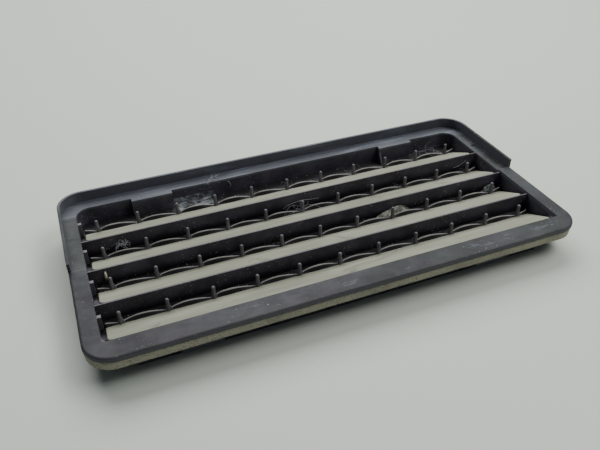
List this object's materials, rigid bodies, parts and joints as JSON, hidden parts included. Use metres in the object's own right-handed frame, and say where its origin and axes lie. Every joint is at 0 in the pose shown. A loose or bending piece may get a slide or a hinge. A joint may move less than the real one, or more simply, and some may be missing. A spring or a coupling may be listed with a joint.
{
  "type": "cabin pressure relief vent",
  "caption": "Flanged rectangular vent with sloping louvre seats, hinged rubber flaps that open under air pressure, a foam seal and snap arms.",
  "frame": {"origin": "centre of the outline in plan, at the bottom edge of the collar", "axes": "+X along the vent, +Y towards the side with the rain rim, +Z out of the face with the flaps"},
  "size_m": [0.2324, 0.113, 0.0205],
  "materials": {
    "frame_plastic": "moulded dark grey plastic, fine grain, dusty",
    "flange_plastic": "moulded grey plastic, scuffed and dusty",
    "flap_rubber": "thin rubber sheet covered with pale dust",
    "foam": "tan closed-cell foam strip"
  },
  "bodies": {
    "frame": {"flange_frame": "flange_plastic", "duct_collar": "frame_plastic", "foam_seal": "foam", "louvre_1": "frame_plastic", "peg_row_1": "frame_plastic", "flap_margin_1": "flap_rubber", "louvre_2": "frame_plastic", "peg_row_2": "frame_plastic", "flap_margin_2": "flap_rubber", "louvre_3": "frame_plastic", "peg_row_3": "frame_plastic", "flap_margin_3": "flap_rubber", "louvre_4": "frame_plastic", "peg_row_4": "frame_plastic", "flap_margin_4": "flap_rubber"},
    "flap_1": {"flap_blade_1": "flap_rubber"},
    "flap_2": {"flap_blade_2": "flap_rubber"},
    "flap_3": {"flap_blade_3": "flap_rubber"},
    "flap_4": {"flap_blade_4": "flap_rubber"},
    "snap_near_left": {"snap_arm_near_left": "frame_plastic"},
    "snap_near_right": {"snap_arm_near_right": "frame_plastic"},
    "snap_far_left": {"snap_arm_far_left": "frame_plastic"},
    "snap_far_right": {"snap_arm_far_right": "frame_plastic"}
  },
  "joints": [
    {"name": "flap_1_lift", "type": "hinge", "parent": "frame", "child": "flap_1", "pos_m": [0, 0.0363, 0.00645], "axis": [-1, 0, 0], "range_deg": [0, 55]},
    {"name": "flap_2_lift", "type": "hinge", "parent": "frame", "child": "flap_2", "pos_m": [0, 0.0138, 0.00645], "axis": [-1, 0, 0], "range_deg": [0, 55]},
    {"name": "flap_3_lift", "type": "hinge", "parent": "frame", "child": "flap_3", "pos_m": [0, -0.0087, 0.00645], "axis": [-1, 0, 0], "range_deg": [0, 55]},
    {"name": "flap_4_lift", "type": "hinge", "parent": "frame", "child": "flap_4", "pos_m": [0, -0.0312, 0.00645], "axis": [-1, 0, 0], "range_deg": [0, 55]},
    {"name": "snap_near_left_flex", "type": "hinge", "parent": "frame", "child": "snap_near_left", "pos_m": [-0.0706, -0.0478, 0.0119], "axis": [1, 0, 0], "range_deg": [0, 8], "stiffness_Nm_per_rad": 1.2},
    {"name": "snap_near_right_flex", "type": "hinge", "parent": "frame", "child": "snap_near_right", "pos_m": [0.0706, -0.0478, 0.0119], "axis": [1, 0, 0], "range_deg": [0, 8], "stiffness_Nm_per_rad": 1.2},
    {"name": "snap_far_left_flex", "type": "hinge", "parent": "frame", "child": "snap_far_left", "pos_m": [-0.0706, 0.0496, 0.0119], "axis": [-1, 0, 0], "range_deg": [0, 8], "stiffness_Nm_per_rad": 1.2},
    {"name": "snap_far_right_flex", "type": "hinge", "parent": "frame", "child": "snap_far_right", "pos_m": [0.0706, 0.0496, 0.0119], "axis": [-1, 0, 0], "range_deg": [0, 8], "stiffness_Nm_per_rad": 1.2}
  ]
}
